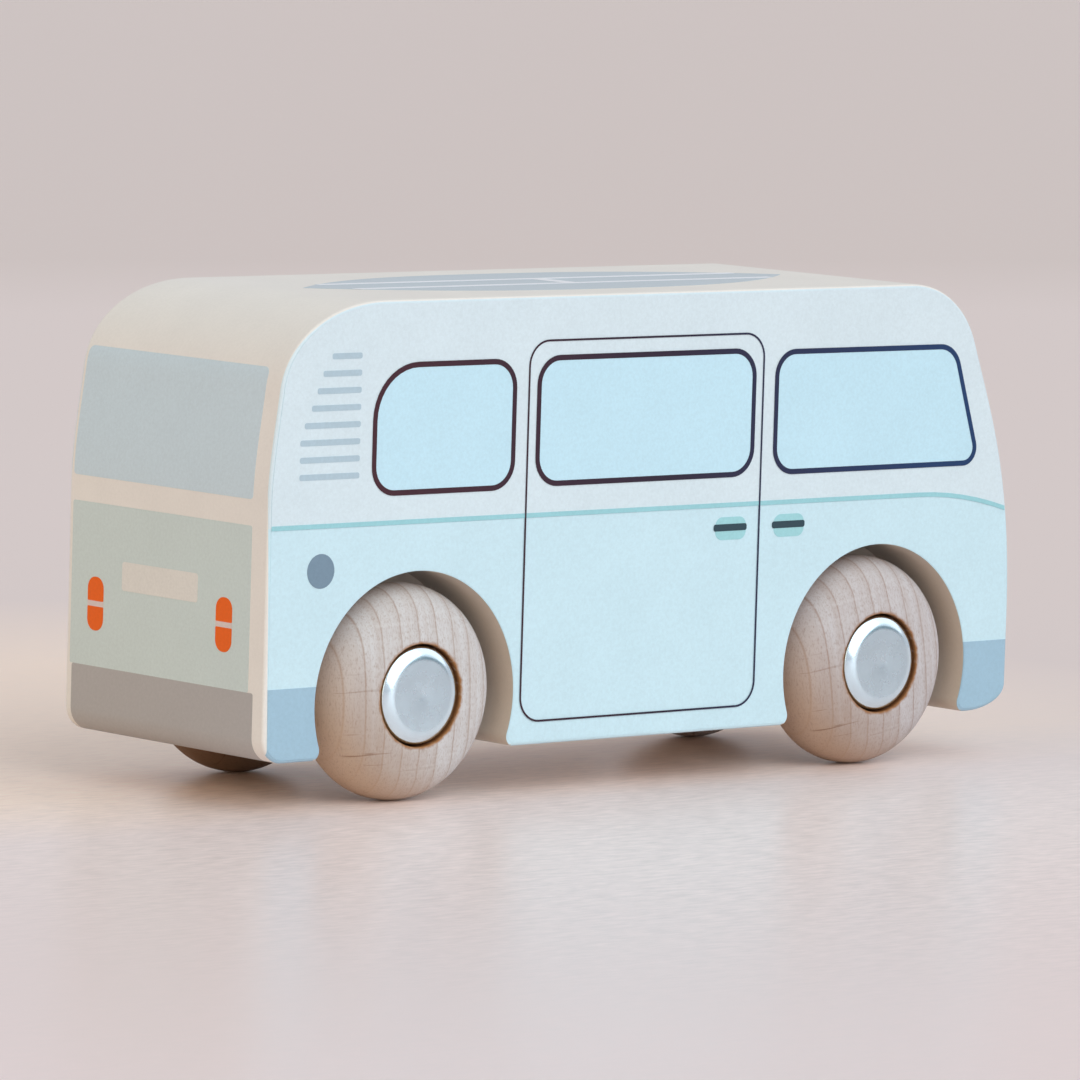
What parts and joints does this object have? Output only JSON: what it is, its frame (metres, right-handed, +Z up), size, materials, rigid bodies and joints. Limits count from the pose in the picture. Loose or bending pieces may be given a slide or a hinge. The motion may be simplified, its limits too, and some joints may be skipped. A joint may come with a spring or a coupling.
{
  "type": "wooden toy campervan",
  "caption": "Palm-sized wooden toy campervan: a painted block with rounded ends, rolling on beech wheels let into round pockets and held on steel axles by push-on hub caps.",
  "frame": {"origin": "on the floor, below the middle of the block", "axes": "+X forward, towards the van's nose; +Y to the van's left; +Z up"},
  "size_m": [0.12, 0.0404, 0.06],
  "materials": {
    "body_paint": "satin cream paint on wood, with printed windows, doors and bumpers",
    "wheel_beech": "bare turned beech, fine straight grain, with a scorched counterbore",
    "axle_steel": "bright drawn steel",
    "cap_steel": "zinc-plated drawn steel, satin face and bright leaning flank",
    "spring_steel": "dark spring steel",
    "washer_steel": "plain zinc-plated steel"
  },
  "bodies": {
    "van_body": {"body_block": "body_paint"},
    "front_axle_set": {"front_axle": "axle_steel", "front_left_hub_cap": "cap_steel", "front_right_hub_cap": "cap_steel", "front_left_retaining_ring": "spring_steel", "front_right_retaining_ring": "spring_steel", "front_left_spacer_washer": "washer_steel", "front_right_spacer_washer": "washer_steel"},
    "rear_axle_set": {"rear_axle": "axle_steel", "rear_left_hub_cap": "cap_steel", "rear_right_hub_cap": "cap_steel", "rear_left_retaining_ring": "spring_steel", "rear_right_retaining_ring": "spring_steel", "rear_left_spacer_washer": "washer_steel", "rear_right_spacer_washer": "washer_steel"},
    "wheel_front_left": {"front_left_wheel": "wheel_beech"},
    "wheel_front_right": {"front_right_wheel": "wheel_beech"},
    "wheel_rear_left": {"rear_left_wheel": "wheel_beech"},
    "wheel_rear_right": {"rear_right_wheel": "wheel_beech"}
  },
  "joints": [
    {"name": "front_axle_spin", "type": "hinge", "parent": "van_body", "child": "front_axle_set", "pos_m": [0.0375, 0, 0.013], "axis": [0, 1, 0], "continuous": true},
    {"name": "rear_axle_spin", "type": "hinge", "parent": "van_body", "child": "rear_axle_set", "pos_m": [-0.0368, 0, 0.013], "axis": [0, 1, 0], "continuous": true},
    {"name": "front_left_wheel_spin", "type": "hinge", "parent": "front_axle_set", "child": "wheel_front_left", "pos_m": [0.0375, 0.015, 0.013], "axis": [0, 1, 0], "continuous": true},
    {"name": "front_right_wheel_spin", "type": "hinge", "parent": "front_axle_set", "child": "wheel_front_right", "pos_m": [0.0375, -0.015, 0.013], "axis": [0, 1, 0], "continuous": true},
    {"name": "rear_left_wheel_spin", "type": "hinge", "parent": "rear_axle_set", "child": "wheel_rear_left", "pos_m": [-0.0368, 0.015, 0.013], "axis": [0, 1, 0], "continuous": true},
    {"name": "rear_right_wheel_spin", "type": "hinge", "parent": "rear_axle_set", "child": "wheel_rear_right", "pos_m": [-0.0368, -0.015, 0.013], "axis": [0, 1, 0], "continuous": true}
  ]
}
